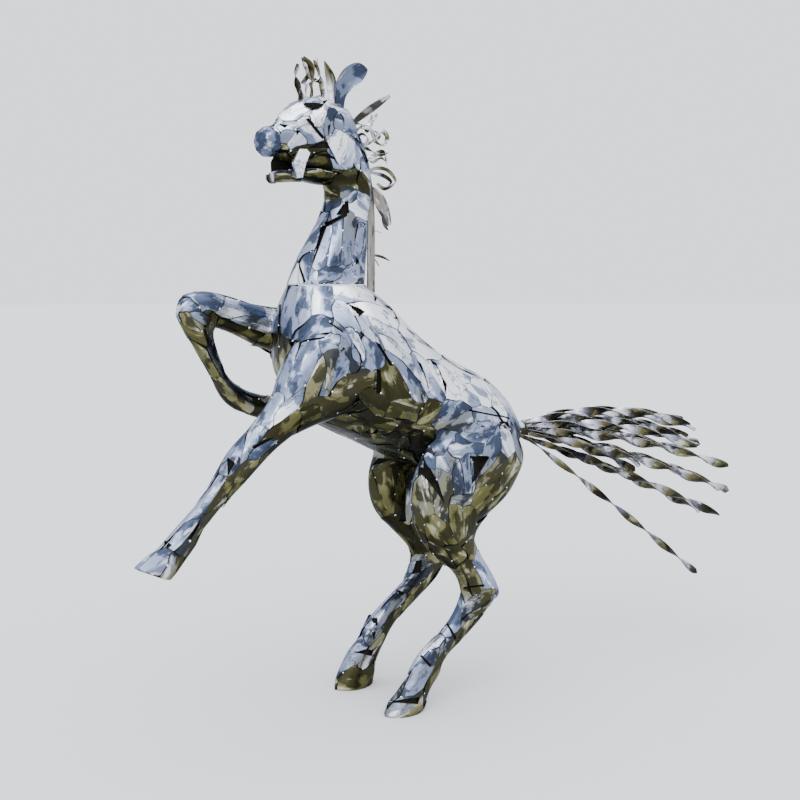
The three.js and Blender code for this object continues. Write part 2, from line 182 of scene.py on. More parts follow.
def cut(points, tris, extra, field):
    """What is left of a mesh where field, given at its points, is over zero."""
    inside = field > 0
    number = inside[tris].sum(1)
    whole = tris[number == 3]
    one = tris[number == 1]
    two = tris[number == 2]
    if len(one) + len(two) == 0:
        return compact(points, whole, extra) if len(whole) else (points[:0], whole, extra[:0])
    one = np.take_along_axis(one, (np.argmax(inside[one], 1)[:, None] + np.arange(3)) % 3, 1)
    two = np.take_along_axis(two, (np.argmin(inside[two], 1)[:, None] + np.arange(3)) % 3, 1)
    pairs = np.concatenate([one[:, [0, 1]], one[:, [0, 2]], two[:, [1, 0]], two[:, [2, 0]]])
    keys, back = np.unique(pairs, axis=0, return_inverse=True)
    back = back.reshape(-1) + len(points)
    a, b = keys[:, 0], keys[:, 1]
    t = (field[a] / (field[a] - field[b]))[:, None]
    points = np.concatenate([points, points[a] + t * (points[b] - points[a])])
    extra = np.concatenate([extra, extra[a] + t * (extra[b] - extra[a])])
    n1, n2 = len(one), len(two)
    ab, ac = back[:n1], back[n1:2 * n1]
    bo, co = back[2 * n1:2 * n1 + n2], back[2 * n1 + n2:]
    fresh = [whole, np.stack([one[:, 0], ab, ac], 1), np.stack([two[:, 1], two[:, 2], co], 1),
             np.stack([two[:, 1], co, bo], 1)]
    return compact(points, np.concatenate(fresh), extra)


def rim_of(tris):
    """Directed edges that belong to one triangle alone."""
    run = np.concatenate([tris[:, [0, 1]], tris[:, [1, 2]], tris[:, [2, 0]]])
    low = np.sort(run, 1)
    _, first, number = np.unique(low, axis=0, return_index=True, return_counts=True)
    return run[first[number == 1]]


# ---- what a piece is made of ----
class Piece:
    """Gathers meshes with their paint values into one object."""

    def __init__(self, name):
        self.name = name
        self.points, self.tris, self.slots = [], [], []
        self.tone, self.edge, self.sheet = [], [], []
        self.size = 0

    def add(self, points, tris, slot=0, tone=0.0, edge=1.0, sheet=None):
        if len(tris) == 0:
            return
        n = len(points)
        self.points.append(points)
        self.tris.append(tris + self.size)
        self.slots.append(np.full(len(tris), slot))
        self.tone.append(np.broadcast_to(tone, n))
        self.edge.append(np.broadcast_to(edge, n))
        self.sheet.append(points if sheet is None else sheet)
        self.size += n

    def plate(self, points, tris, normals, tone, edge, sheet):
        """A closed sheet with its outer face where the mesh is."""
        n = len(points)
        low = points - SHEET * normals
        low[:, 2] = np.maximum(low[:, 2], INNER_LOW)
        rim = rim_of(tris)
        walls = np.concatenate([np.stack([rim[:, 0], rim[:, 0] + n, rim[:, 1]], 1),
                                np.stack([rim[:, 1], rim[:, 0] + n, rim[:, 1] + n], 1)])
        # the inner face gets a tone 0.2 lower and an edge value of zero, so it is painted darker: painted
        # shade on the inside of the sheet
        self.add(np.concatenate([points, low]), np.concatenate([tris, tris[:, ::-1] + n, walls]),
                 0, np.concatenate([tone, tone - 0.2]), np.concatenate([edge, edge * 0]),
                 np.concatenate([sheet, sheet]))

    def build(self, materials, nodes, slot, sharp=40):
        mesh = bpy.data.meshes.new(self.name)
        points = np.concatenate(self.points)
        tris = np.concatenate(self.tris)
        mesh.from_pydata(points.tolist(), [], tris.tolist())
        for label, kind, values in [("tone", "FLOAT", self.tone), ("edge", "FLOAT", self.edge),
                                    ("sheet", "FLOAT_VECTOR", self.sheet)]:
            data = mesh.attributes.new(label, kind, "POINT").data
            data.foreach_set("value" if kind == "FLOAT" else "vector",
                             np.concatenate(self.__dict__[label]).astype(np.float32).ravel())
        for material in materials:
            mesh.materials.append(material)
        mesh.polygons.foreach_set("material_index", np.concatenate(self.slots).astype(np.int32))
        mesh.validate()
        mesh.shade_smooth()
        mesh.set_sharp_from_angle(angle=math.radians(sharp))
        obj = linked(self.name, mesh)
        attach(obj, "root")
        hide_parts(*nodes)


# ---- materials ----
def nodes_for(name):
    material = bpy.data.materials.new(name)
    material.use_nodes = True
    tree = material.node_tree
    shader = tree.nodes["Principled BSDF"]
    return material, tree, shader


def add_node(tree, kind, **values):
    node = tree.nodes.new(kind)
    for key, value in values.items():
        if key in node.inputs:
            node.inputs[key].default_value = value
        else:
            setattr(node, key, value)
    return node


def math_node(tree, operation, a, b=None):
    node = tree.nodes.new("ShaderNodeMath")
    node.operation = operation
    for i, value in enumerate([a, b]):
        if value is None:
            continue
        if isinstance(value, (int, float)):
            node.inputs[i].default_value = value
        else:
            tree.links.new(value, node.inputs[i])
    return node.outputs[0]


def ramp(tree, factor, stops):
    node = tree.nodes.new("ShaderNodeValToRGB")
    node.color_ramp.elements[0].position = stops[0][0]
    node.color_ramp.elements[0].color = (*stops[0][1], 1)
    node.color_ramp.elements[1].position = stops[-1][0]
    node.color_ramp.elements[1].color = (*stops[-1][1], 1)
    for place, colour in stops[1:-1]:
        node.color_ramp.elements.new(place).color = (*colour, 1)
    tree.links.new(factor, node.inputs[0])
    return node.outputs[0]


def mixed(tree, factor, a, b):
    node = tree.nodes.new("ShaderNodeMix")
    node.data_type = "RGBA"
    tree.links.new(factor, node.inputs[0])
    for socket, value in [(node.inputs[6], a), (node.inputs[7], b)]:
        if isinstance(value, tuple):
            socket.default_value = (*value, 1)
        else:
            tree.links.new(value, socket)
    return node.outputs[2]


def srgb(r, g, b):
    return tuple(c / 255 / 12.92 if c < 11 else ((c / 255 + 0.055) / 1.055) ** 2.4
                 for c in (r, g, b))


# painted reflections: colours from where the steel is painted as mirroring the grass to where it is
# painted as mirroring the sky, for bright and dark blotches
LIGHT = [(0.0, srgb(66, 64, 36)), (0.18, srgb(88, 86, 52)), (0.36, srgb(122, 120, 88)),
         (0.48, srgb(114, 118, 122)), (0.62, srgb(116, 127, 152)), (0.8, srgb(150, 161, 188)),
         (1.0, srgb(246, 248, 253))]
DARK = [(0.0, srgb(30, 29, 16)), (0.18, srgb(44, 43, 24)), (0.36, srgb(60, 58, 38)),
        (0.48, srgb(44, 48, 54)), (0.62, srgb(50, 59, 78)), (0.8, srgb(72, 83, 106)),
        (1.0, srgb(142, 152, 178))]
# painted sky reflection colours in slate blue, for the muzzle, ear spoon and eyes
BLUE_LIGHT = [(0.3, srgb(92, 103, 124)), (0.62, srgb(106, 118, 142)), (1.0, srgb(172, 184, 206))]
BLUE_DARK = [(0.3, srgb(46, 53, 70)), (0.62, srgb(56, 66, 88)), (1.0, srgb(94, 106, 130))]
# painted reflections for the twisted strips: faces that turn up are painted bright, faces that turn down
# dark olive
STRIP_LIGHT = [(0.0, srgb(54, 51, 30)), (0.3, srgb(96, 92, 62)), (0.5, srgb(134, 132, 128)),
               (0.7, srgb(190, 192, 204)), (1.0, srgb(246, 247, 252))]
STRIP_DARK = [(0.0, srgb(18, 16, 9)), (0.3, srgb(40, 37, 20)), (0.5, srgb(62, 61, 60)),
              (0.7, srgb(108, 112, 130)), (1.0, srgb(176, 182, 202))]
# painted glints: near-white, and khaki-white where the painted reflection is olive
PAINTED_GLINT_COLOURS = [(0.15, srgb(150, 148, 108)), (0.4, srgb(200, 198, 178)), (0.6, srgb(236, 239, 247))]


# lean: how much brighter upward-facing surfaces are painted, as painted sky reflection
def steel(name, blotch=0.5, rough=0.22, scale=11.0, level=0.5, lean=0.25, light=LIGHT, dark=DARK):
    """Bright plate steel, with painted reflections of sky, trees and grass in blotches and streaks."""
    material, tree, shader = nodes_for(name)
    link = tree.links.new
    tone = add_node(tree, "ShaderNodeAttribute", attribute_name="tone").outputs["Fac"]
    edge = add_node(tree, "ShaderNodeAttribute", attribute_name="edge").outputs["Fac"]
    sheet = add_node(tree, "ShaderNodeAttribute", attribute_name="sheet").outputs["Vector"]
    facing = add_node(tree, "ShaderNodeSeparateXYZ")
    link(add_node(tree, "ShaderNodeNewGeometry").outputs["Normal"], facing.inputs[0])
    drawn = add_node(tree, "ShaderNodeMapping", Scale=(0.3, 1.0, 1.0))
    link(sheet, drawn.inputs["Vector"])

    def noise(vector, scale, detail=2.0, rough=0.5, twist=0.0):
        node = add_node(tree, "ShaderNodeTexNoise", Scale=scale, Detail=detail, Roughness=rough,
                        Distortion=twist)
        link(vector, node.inputs["Vector"])
        return math_node(tree, "SUBTRACT", node.outputs["Fac"], 0.5)

    def total(*terms):
        out = None
        for value, weight in terms:
            term = math_node(tree, "MULTIPLY", value, weight)
            out = term if out is None else math_node(tree, "ADD", out, term)
        return out

    def step(value, low, high, start=0.0, end=1.0):
        limits = {"From Min": low, "From Max": high, "To Min": start, "To Max": end}
        node = add_node(tree, "ShaderNodeMapRange", **limits)
        node.interpolation_type = "SMOOTHSTEP"
        link(value, node.inputs["Value"])
        return node.outputs[0]

    # these noises place painted reflections; the streak noise runs along the plate as a painted brushed
    # reflection
    broad = noise(sheet, scale * 0.45, 2.0, 0.5, 0.6)
    patch = noise(sheet, scale * 1.7, 1.4, 0.45, 0.35)
    small = noise(sheet, scale * 4.2, 2.0, 0.6, 0.6)
    streak = noise(drawn.outputs[0], scale * 3.0, 3.0, 0.6, 0.5)
    # painted light level: upward faces painted brighter as reflecting the sky, downward faces darker and
    # olive as reflecting grass, plus the plate's tone and painted reflection streaks
    painted_light_level = math_node(tree, "ADD", total((tone, 0.45), (facing.outputs["Z"], lean), (broad, 0.7),
                                         (streak, 0.35)), level)
    bright = ramp(tree, painted_light_level, light)
    deep = ramp(tree, painted_light_level, dark)
    # dark blotches: painted reflections of trees
    painted_dark_part = step(total((patch, 1.0), (streak, 0.34), (small, 0.34), (tone, -0.09)),
                     blotch - 0.54, blotch - 0.455)
    colour = mixed(tree, painted_dark_part, bright, deep)
    # painted glints along the streaks
    painted_glint = step(total((patch, -0.5), (streak, 0.9), (small, 0.4)), 0.08, 0.2, 0.0, 0.65)
    colour = mixed(tree, painted_glint, colour, ramp(tree, painted_light_level, PAINTED_GLINT_COLOURS))
    # thin dark curved lines: painted reflections of twigs
    contour = math_node(tree, "ABSOLUTE", total((broad, 1.0), (small, 0.22)))
    painted_reflected_lines = step(contour, 0.003, 0.014, 0.6, 0.0)
    colour = mixed(tree, painted_reflected_lines, colour, srgb(40, 42, 44))
    # a dark line at the very edge of each plate
    rim = step(edge, 0.001, 0.0022, 0.5, 0.0)
    colour = mixed(tree, rim, colour, srgb(50, 52, 50))
    link(colour, shader.inputs["Base Color"])
    shader.inputs["Metallic"].default_value = 0.9
    shader.inputs["Specular Tint"].default_value = (0.55, 0.57, 0.6, 1)
    link(step(small, -0.2, 0.2, rough, rough + 0.14), shader.inputs["Roughness"])
    bump = add_node(tree, "ShaderNodeBump", Strength=0.5, Distance=0.004)
    wave = total((noise(sheet, scale * 1.4, 2.0, 0.5, 0.8), 1.0),
                 (noise(sheet, scale * 8, 2.0), 0.12))
    link(wave, bump.inputs["Height"])
    link(bump.outputs[0], shader.inputs["Normal"])
    return material


plate_steel = steel("polished_plate_steel")
strip_steel = steel("polished_strip_steel", 0.52, 0.2, 12.0, 0.44, 0.6, STRIP_LIGHT, STRIP_DARK)
cup_steel = steel("muzzle_steel_painted_sky_blue", 0.49, 0.22, 14.0, 0.5, 0.12, BLUE_LIGHT, BLUE_DARK)
eye_steel = steel("bright_eye_steel", 0.66, 0.2, 20.0, 0.5, 0.4, BLUE_LIGHT, BLUE_DARK)

# near-black lining material: painted shade inside the hollow body, seen through the gaps between plates
painted_shade_lining, painted_shade_tree, painted_shade_shader = nodes_for("painted_shade_inside")
inside_noise = add_node(painted_shade_tree, "ShaderNodeTexNoise", Scale=14.0)
painted_shade_colour = ramp(painted_shade_tree, inside_noise.outputs["Fac"],
                     [(0.3, (0.004, 0.004, 0.003)), (0.75, (0.014, 0.013, 0.01))])
painted_shade_tree.links.new(painted_shade_colour, painted_shade_shader.inputs["Base Color"])
painted_shade_shader.inputs["Roughness"].default_value = 0.9
painted_shade_shader.inputs["Specular IOR Level"].default_value = 0.1


# ---- plates ----
class Form:
    """A skin with the seeds of the plates that cover it."""

    def __init__(self, names, cell, rounds):
        self.names = names
        self.points, self.tris = form_of(names, cell, rounds)
        self.normals = normals_of(self.points, self.tris)
        self.tree = BVHTree.FromPolygons(self.points.tolist(), self.tris.tolist())
        self.seeds = []
        self.trees = {}
        self.axes = {}
        for name in names:
            points, tris = node_mesh(name)
            self.trees[name] = BVHTree.FromPolygons(points.tolist(), tris.tolist())
            spread = points - points.mean(0)
            self.axes[name] = np.linalg.eigh(spread.T @ spread)[1][:, 2]

    def hit(self, px, py):
        place, normal, _, _ = self.tree.ray_cast(Vector(EYE), Vector(line_through(px, py)))
        return (None, None) if place is None else (np.array(place), np.array(normal))

    def node_at(self, place):
        return min(self.names, key=lambda n: self.trees[n].find_nearest(Vector(place))[3])

    def seed(self, place, normal, along, long, wide, tone=None):
        along = unit(along - (along @ normal) * normal)
        self.seeds.append({"p": place, "n": normal, "a": along, "c": np.cross(normal, along),
                           "l": long, "w": wide, "t": tone, "node": self.node_at(place)})

    def by_sight(self, rows):
        """Seeds given as the view shows them: x, y, direction, half length, half width, tone and painted
        reflection.
        """
        for px, py, turn, long, wide, tone in rows:
            place, normal = self.hit(px, py)
            if place is None:
                continue
            normal = self.soft_normal(place, normal)
            ca, sa = math.cos(math.radians(turn)), -math.sin(math.radians(turn))
            ends = []
            for dx, dy in [(ca, sa), (-sa, ca)]:
                # where the line through the next pixel meets the plane that touches here
                ray = line_through(px + dx, py + dy)
                depth = ((place - EYE) @ normal) / (ray @ normal)
                ends.append(EYE + ray * depth - place)
            size = np.linalg.norm(place - EYE) / FOCUS
            reach = [min(np.linalg.norm(e), 2.2 * size) for e in ends]
            self.seed(place, normal, unit(ends[0]), long * reach[0], wide * reach[1], tone)

    def soft_normal(self, place, normal):
        near = np.linalg.norm(self.points - place, axis=1) < NEAR
        mean = self.normals[near].sum(0) if near.any() else normal
        return unit(mean)

    def mirror(self, nodes):
        """The same plates on the other side."""
        for s in [s for s in self.seeds if s["node"] in nodes]:
            found, normal, _, _ = self.tree.find_nearest(Vector(s["p"] * MIRROR))
            place = np.array(found)
            normal = self.soft_normal(place, np.array(normal))
            if self.nearest(place[None], normal[None])[0] > FREE:
                self.seed(place, normal, s["a"] * MIRROR, s["l"], s["w"])

    def placed(self, s, points):
        """Points in a plate's own axes, in half lengths, half widths and depths."""
        r = points - s["p"]
        return r @ s["a"] / s["l"], r @ s["c"] / s["w"], r @ s["n"] / (DEEP * s["w"])

    def distance(self, s, points, normals):
        x, y, z = self.placed(s, points)
        return (x ** 4 + y ** 4 + z ** 4) ** 0.25 + TURNED * (1 - normals @ s["n"])

    def slope(self, s, points):
        """How the distance grows, without the part that the normals add."""
        x, y, z = self.placed(s, points)
        d = ((x ** 4 + y ** 4 + z ** 4) ** 0.75).clip(1e-9)[:, None]
        return (np.outer(x ** 3 / s["l"], s["a"]) + np.outer(y ** 3 / s["w"], s["c"])
                + np.outer(z ** 3 / (DEEP * s["w"]), s["n"])) / d

    def nearest(self, points, normals):
        best = np.full(len(points), 9.0)
        for s in self.seeds:
            best = np.minimum(best, self.distance(s, points, normals))
        return best

    def fill(self, sizes):
        """Adds plates until none of the skin is left uncovered."""
        best = self.nearest(self.points, self.normals)
        for i in rng.permutation(len(self.points)):
            if best[i] < COVERED:
                continue
            place = self.points[i]
            normal = self.soft_normal(place, self.normals[i])
            node = self.node_at(place)
            long, wide = sizes[node]
            axis = self.axes[node]
            turn = rng.normal(0, 0.3)
            side = np.cross(normal, axis)
            along = axis * math.cos(turn) + side * math.sin(turn)
            if np.linalg.norm(np.cross(along, normal)) < 0.3:
                along = side
            k = rng.uniform(0.8, 1.25)
            self.seed(place, normal, along, long * k / 1000, wide * k / 1000)
            best = np.minimum(best, self.distance(self.seeds[-1], self.points, self.normals))

    def seam(self, i, j):
        return SEAMS[(7 * min(i, j) + 3 * max(i, j)) % len(SEAMS)]

    def gap_to(self, own, other, points, normals):
        """How far inside its border with another plate each point of a plate is."""
        ahead = self.distance(other, points, normals) - self.distance(own, points, normals)
        slope = self.slope(other, points) - self.slope(own, points)
        slope -= (slope * normals).sum(1, keepdims=True) * normals
        return ahead / np.linalg.norm(slope, axis=1).clip(2.0)

    def from_base(self, s, points):
        """How far points are from the level seam, on their plate's own side of it."""
        above = points[:, 2] - NECK_BASE
        return (above if s["node"] == "neck" else -above) - BASE_SEAM

    def cover(self, pieces, openings):
        """Cuts the skin into its plates and adds them to their pieces."""
        all_d = np.stack([self.distance(s, self.points, self.normals) for s in self.seeds])
        label = np.argmin(all_d, 0)
        np.put_along_axis(all_d, label[None], np.inf, 0)
        second = np.argmin(all_d, 0)
        rims = []
        for k, s in enumerate(self.seeds):
            tris = self.tris[(label[self.tris] == k).any(1)]
            if len(tris) < 4:
                continue
            rivals = sorted((set(np.unique(label[tris])) | set(np.unique(second[tris]))) - {k})
            points, tris, normals = compact(self.points, tris, self.normals)
            for j in rivals:
                field = self.gap_to(s, self.seeds[j], points, normals) - self.seam(k, j) / 2
                points, tris, normals = cut(points, tris, normals, field)
                if len(tris) == 0:
                    break
            if s["node"] in ("trunk", "neck") and len(tris):
                points, tris, normals = cut(points, tris, normals, self.from_base(s, points))
            for opening in openings:
                if len(tris):
                    points, tris, normals = opening.cleared(points, tris, normals)
            if len(tris) < 4:
                continue
            edge = np.full(len(points), 1.0)
            for j in rivals:
                gap = self.gap_to(s, self.seeds[j], points, normals)
                edge = np.minimum(edge, gap - self.seam(k, j) / 2)
            if s["node"] in ("trunk", "neck"):
                edge = np.minimum(edge, self.from_base(s, points))
            hole = np.full(len(points), 1.0)
            for opening in openings:
                hole = np.minimum(hole, opening.away(points, normals))
            edge = np.minimum(edge, hole).clip(0)
            points, normals, sheet = self.bent(s, points, tris, unit(normals), hole, k)
            tone = s["t"]
            mean = unit(normals.sum(0))
            if tone is None:
                # plates that face upward get a brighter tone and those that face down a darker one:
                # painted reflection of sky and grass, less on the limbs
                lift, top = (0.8, 0.35) if s["node"] in LIMBS else (1.3, 1)
                tone = NODE_TONES_AND_REFLECTIONS[s["node"]] + mean[2] * lift + rng.normal(0, TONE_SPREAD)
                tone = np.clip(tone, -0.8, top)
            pieces[s["node"]].plate(points, tris, normals, np.full(len(points), tone), edge, sheet)
            border = np.unique(rim_of(tris))
            rims.append(np.concatenate([points[border], normals[border]], 1))
        return np.concatenate(rims)

    def bent(self, s, points, tris, normals, hole, k):
        """Lets a plate spring from the form into one smooth bend, with its own slight tilt."""
        mean = unit(normals.sum(0))
        a = unit(s["a"] - (s["a"] @ mean) * mean)
        c = np.cross(mean, a)
        middle = points.mean(0)
        r = points - middle
        u, v, w = r @ a, r @ c, r @ mean
        level = normals @ mean
        basis = np.stack([np.ones_like(u), u, v, u * u, u * v, v * v], 1)
        weight = (level.clip(0) ** 2 * np.clip(hole / 0.01, 0.02, 1))[:, None]
        lean = np.diag([0, 0, 0, 1e-7, 1e-7, 1e-7])
        fit = np.linalg.solve((basis * weight).T @ basis + lean, (basis * weight).T @ w)
        shift = basis @ fit - w
        near_hole = np.clip(1 - hole / 0.03, 0, 1)
        keep = np.clip((level - 0.25) / 0.4, 0, 1)
        shift = shift * np.maximum(0.85 * keep, near_hole)
        far = LIMIT + near_hole * 0.02
        shift = far * np.tanh(shift / far)
        reach = max(np.ptp(u), np.ptp(v), 0.02)
        tilt = rng.normal(0, 0.0016, 2)
        wave = sum(rng.uniform(0.0003, 0.0009)
                   * np.sin(u * rng.uniform(12, 45) + v * rng.uniform(-60, 60) + rng.uniform(0, 6.3))
                   for _ in range(3))
        shift = shift + (u * tilt[0] + v * tilt[1]) / reach * 2 + wave + rng.uniform(-0.0008, 0.0012)
        points = points + shift[:, None] * mean
        points[:, 2] = points[:, 2].clip(OUTER_LOW)
        sheet = np.stack([u * 0.55, v, np.full_like(u, 3.7 * k)], 1)
        return points, normals_of(points, tris), sheet

    def lay(self, piece, outline, lift, tone):
        """A plate of its own outline in the view, standing off the skin."""
        sides = Opening(self, outline)
        near = sides.away(self.points, self.normals) < 0.02
        points, tris, normals = compact(self.points, self.tris[near[self.tris].all(1)], self.normals)
        for i in range(len(sides.outline)):
            points, tris, normals = cut(points, tris, normals, -sides.lines(points, normals)[i])
        mean = unit(normals.sum(0))
        away = sides.away(points, normals)
        points, normals, sheet = self.bent({"a": unit(np.cross(mean, [0, 1, 0]))}, points, tris,
                                           unit(normals), np.zeros(len(points)),
                                           900 + len(outline) + lift * 1e4)
        points = points + lift * mean
        piece.plate(points, tris, normals_of(points, tris), np.full(len(points), tone),
                    (-away).clip(0), sheet)


class Opening:
    """A dark gap between plates, given by its convex outline in the view."""

    def __init__(self, form, outline, far=False):
        self.outline = np.array(outline, float)
        middle = self.outline.mean(0)
        after = np.roll(self.outline, -1, 0)
        if (self.outline[:, 0] * after[:, 1] - after[:, 0] * self.outline[:, 1]).sum() < 0:
            self.outline = self.outline[::-1]
        place, _ = form.hit(*middle)
        self.depth = (place - EYE) @ AHEAD if place is not None else USUAL_DEPTH
        self.far = far

    def lines(self, points, normals):
        """Distance outside each side of the outline, large for points that it doesn't concern."""
        if self.far:
            points, normals = points * MIRROR, normals * MIRROR
        x, y, depth = seen_at(points)
        away = ((points - EYE) * normals).sum(1) > 0.0
        away |= np.abs(depth - self.depth) > GAP_DEPTH
        start, end = self.outline, np.roll(self.outline, -1, 0)
        way = unit(end - start)
        out = np.stack([(x - p[0]) * d[1] - (y - p[1]) * d[0] for p, d in zip(start, way)])
        out = out * (depth / FOCUS)
        out[:, away] = OFF_VIEW
        return out

    def away(self, points, normals):
        return self.lines(points, normals).max(0)

    def cleared(self, points, tris, normals):
        if self.away(points, normals).min() > 0:
            return points, tris, normals
        kept = []
        for i in range(len(self.outline)):
            if len(tris) == 0:
                break
            kept.append(cut(points, tris, normals, self.lines(points, normals)[i]))
            points, tris, normals = cut(points, tris, normals, -self.lines(points, normals)[i])
        kept = [k for k in kept if len(k[1])]
        if not kept:
            return points[:0], tris[:0], normals[:0]
        starts = np.cumsum([0] + [len(k[0]) for k in kept[:-1]])
        points = np.concatenate([k[0] for k in kept])
        normals = np.concatenate([k[2] for k in kept])
        tris = np.concatenate([k[1] + s for k, s in zip(kept, starts)])
        _, first, same = np.unique(np.round(points, 6), axis=0, return_index=True, return_inverse=True)
        return compact(points[first], with_area(same.reshape(-1)[tris]), normals[first])


LIMBS = [side + "_" + part for side in ("left", "right")
         for part in ("upper_foreleg", "fore_cannon", "fore_hoof", "thigh", "hind_cannon", "hind_hoof")]
BODY = ["trunk", "tail_dock"] + LIMBS
HEAD = ["neck", "head"]

# half length and half width of a plate, mm
SIZES = {"trunk": (150, 46), "tail_dock": (60, 30), "neck": (140, 30), "head": (50, 24),
         "lower_jaw": (60, 28)}
LIMB_SIZES = {"upper_foreleg": (125, 30), "fore_cannon": (100, 22), "fore_hoof": (70, 38),
              "thigh": (130, 38), "hind_cannon": (105, 24), "hind_hoof": (70, 38)}
# mean tone and painted reflection of a node's plates that face sideways
NODE_TONES_AND_REFLECTIONS = {"trunk": 0.1, "tail_dock": 0.0, "neck": 0.3, "head": 0.5, "lower_jaw": -0.5}
for limb in LIMBS:
    NODE_TONES_AND_REFLECTIONS[limb] = -0.34 if limb.endswith("hoof") else -0.16
    SIZES[limb] = LIMB_SIZES[limb.split("_", 1)[1]]

# x, y, direction in degrees, half length and half width in pixels, tone and painted reflection from dark
# to bright
NECK_SEEDS = [
    (290, 268, 66, 20, 6, 0.2), (309, 238, 55, 26, 8, 0.3), (304, 268, 80, 16, 6, 0.15),
    (324, 248, 74, 30, 6, 0.35), (336, 240, 85, 32, 7, 0.25), (348, 236, 88, 28, 6, 0.3),
    (363, 243, 88, 24, 5, 0.5), (330, 273, 8, 18, 7, 0.15), (352, 273, 25, 14, 8, 0.5),
    (314, 277, 80, 9, 5, 0.2), (360, 210, -35, 13, 6, 0.85), (351, 196, 70, 8, 6, 0.35),
    (328, 195, -20, 9, 4, -0.7), (364, 186, -70, 12, 5, -0.8), (330, 204, 20, 9, 5, -0.05),
    (366, 200, -62, 10, 4, 0.6), (368, 268, 88, 16, 4, 0.8),
]
HEAD_SEEDS = [
    (292, 108, 22, 18, 7, 0.85), (281, 113, 55, 6, 4, 0.3), (298, 123, 8, 16, 5, 0.95),
    (310, 131, -42, 13, 8, 0.75), (296, 142, 40, 11, 6, 1.0), (319, 113, 62, 14, 6, 0.9),
    (331, 122, 82, 13, 4, 0.2), (343, 104, -30, 12, 6, 1.0), (338, 122, -20, 7, 6, 0.3),
    (355, 127, -60, 12, 6, 0.5), (318, 147, 15, 9, 4, -0.6),
    (317, 168, 5, 14, 9, -0.75), (344, 178, -12, 18, 9, -1.0), (357, 150, -62, 14, 6, 0.6),
    (365, 164, -70, 12, 4, 0.9), (286, 138, 60, 8, 5, 0.3), (330, 190, -25, 10, 6, -1.0),
    (342, 150, -75, 20, 10, 0.8), (348, 192, 0, 8, 6, 0.1), (282, 148, 20, 8, 5, -0.5),
]
JAW_SEEDS = [(281, 177, 14, 12, 6, -0.35), (300, 172, 60, 8, 6, -0.6), (318, 174, 5, 12, 8, -0.8)]
TRUNK_SEEDS = [
    (298, 306, 82, 26, 12, 0.45), (322, 298, 82, 16, 11, 0.3), (356, 294, -14, 24, 6, 0.8),
    (378, 314, -36, 24, 8, 1.0), (345, 316, -55, 16, 7, 0.6), (388, 332, -38, 30, 7, 0.8),
    (372, 353, -72, 16, 8, 0.3), (398, 350, -50, 32, 6, 0.7), (425, 376, -62, 26, 6, 0.6),
    (409, 378, -60, 28, 6, 0.2), (452, 382, -50, 26, 9, 1.1), (424, 346, -28, 24, 6, 1.1),
    (458, 371, -30, 24, 6, 1.3), (480, 391, -42, 20, 8, 1.3), (500, 408, -62, 16, 6, 1.1),
    (394, 384, -70, 18, 13, -0.35), (406, 410, -12, 20, 10, -0.5), (376, 402, -35, 16, 9, -0.65),
    (352, 384, 22, 20, 9, -0.45), (347, 352, -72, 24, 6, 0.1), (331, 372, 82, 22, 5, -0.3),
    (316, 386, 62, 24, 6, -0.3), (300, 364, 62, 34, 9, 0.35), (283, 372, 78, 32, 7, 0.4),
    (310, 328, 28, 18, 8, 0.35), (336, 406, 5, 24, 7, -0.55), (344, 421, -12, 34, 6, -0.6),
    (384, 426, -10, 18, 6, -0.8), (362, 438, -15, 40, 5, -0.5), (398, 452, -20, 28, 6, -0.7),
    (428, 412, 40, 14, 7, -0.6), (314, 411, 20, 12, 7, -0.7), (370, 330, -60, 18, 6, 0.7),
    (356, 340, -60, 20, 4, 0.6), (332, 342, 20, 14, 6, 0.4), (470, 398, -20, 16, 7, 1.0),
]
HAUNCH_SEEDS = [
    (456, 414, 35, 18, 12, 0.35), (490, 414, -18, 18, 7, 0.8), (484, 432, 20, 20, 9, 0.35),
    (441, 440, 62, 16, 9, 0.25), (466, 450, 8, 18, 8, 0.25), (428, 458, -50, 9, 6, 0.25),
    (458, 478, -74, 18, 8, 0.15), (446, 468, -55, 14, 6, 0.3), (508, 440, -72, 16, 6, 0.8),
    (494, 474, 48, 20, 7, -0.4), (511, 470, 58, 20, 6, -0.5), (486, 492, 42, 20, 7, -0.45),
    (424, 498, -78, 26, 12, -0.3), (438, 530, -58, 20, 9, -0.35), (457, 516, -80, 18, 6, -0.1),
    (469, 524, 86, 18, 6, -0.4), (462, 500, 5, 14, 6, 0.0), (455, 556, -20, 16, 8, -0.6),
    (470, 572, -60, 16, 7, -0.45), (488, 574, -58, 22, 6, 0.35), (446, 556, -30, 14, 6, -0.5),
    (387, 488, -82, 24, 12, -0.3), (372, 498, -72, 26, 7, -0.4), (400, 500, -82, 22, 6, -0.55),
    (398, 532, -35, 22, 8, -0.5), (392, 462, 15, 14, 5, -0.7), (428, 552, -35, 16, 7, -0.5),
]
FORELEG_SEEDS = [
    (272, 408, 62, 26, 7, 0.25), (288, 408, 40, 20, 6, 0.7), (252, 440, 55, 22, 7, 0.15),
    (282, 428, 38, 22, 6, -0.6), (238, 448, 45, 14, 8, 0.15), (262, 448, 40, 16, 5, 0.4),
    (268, 458, 45, 18, 6, -0.6), (232, 462, 65, 12, 6, 0.1), (245, 476, 45, 18, 7, -0.4),
    (208, 298, -8, 22, 8, 0.15), (240, 308, -15, 22, 9, 0.1), (256, 322, -15, 20, 7, 0.0),
    (186, 306, 40, 12, 9, 0.15), (240, 334, -22, 26, 6, -0.6), (200, 318, -20, 16, 4, 0.0),
    (188, 318, -50, 14, 6, -0.5), (266, 344, -10, 12, 7, -0.5),
    (208, 500, 48, 24, 6, 0.1), (186, 532, 45, 16, 5, 0.1), (222, 492, 48, 24, 5, -0.5),
    (152, 566, 30, 18, 8, 0.15), (174, 568, 70, 12, 6, 0.1),
]

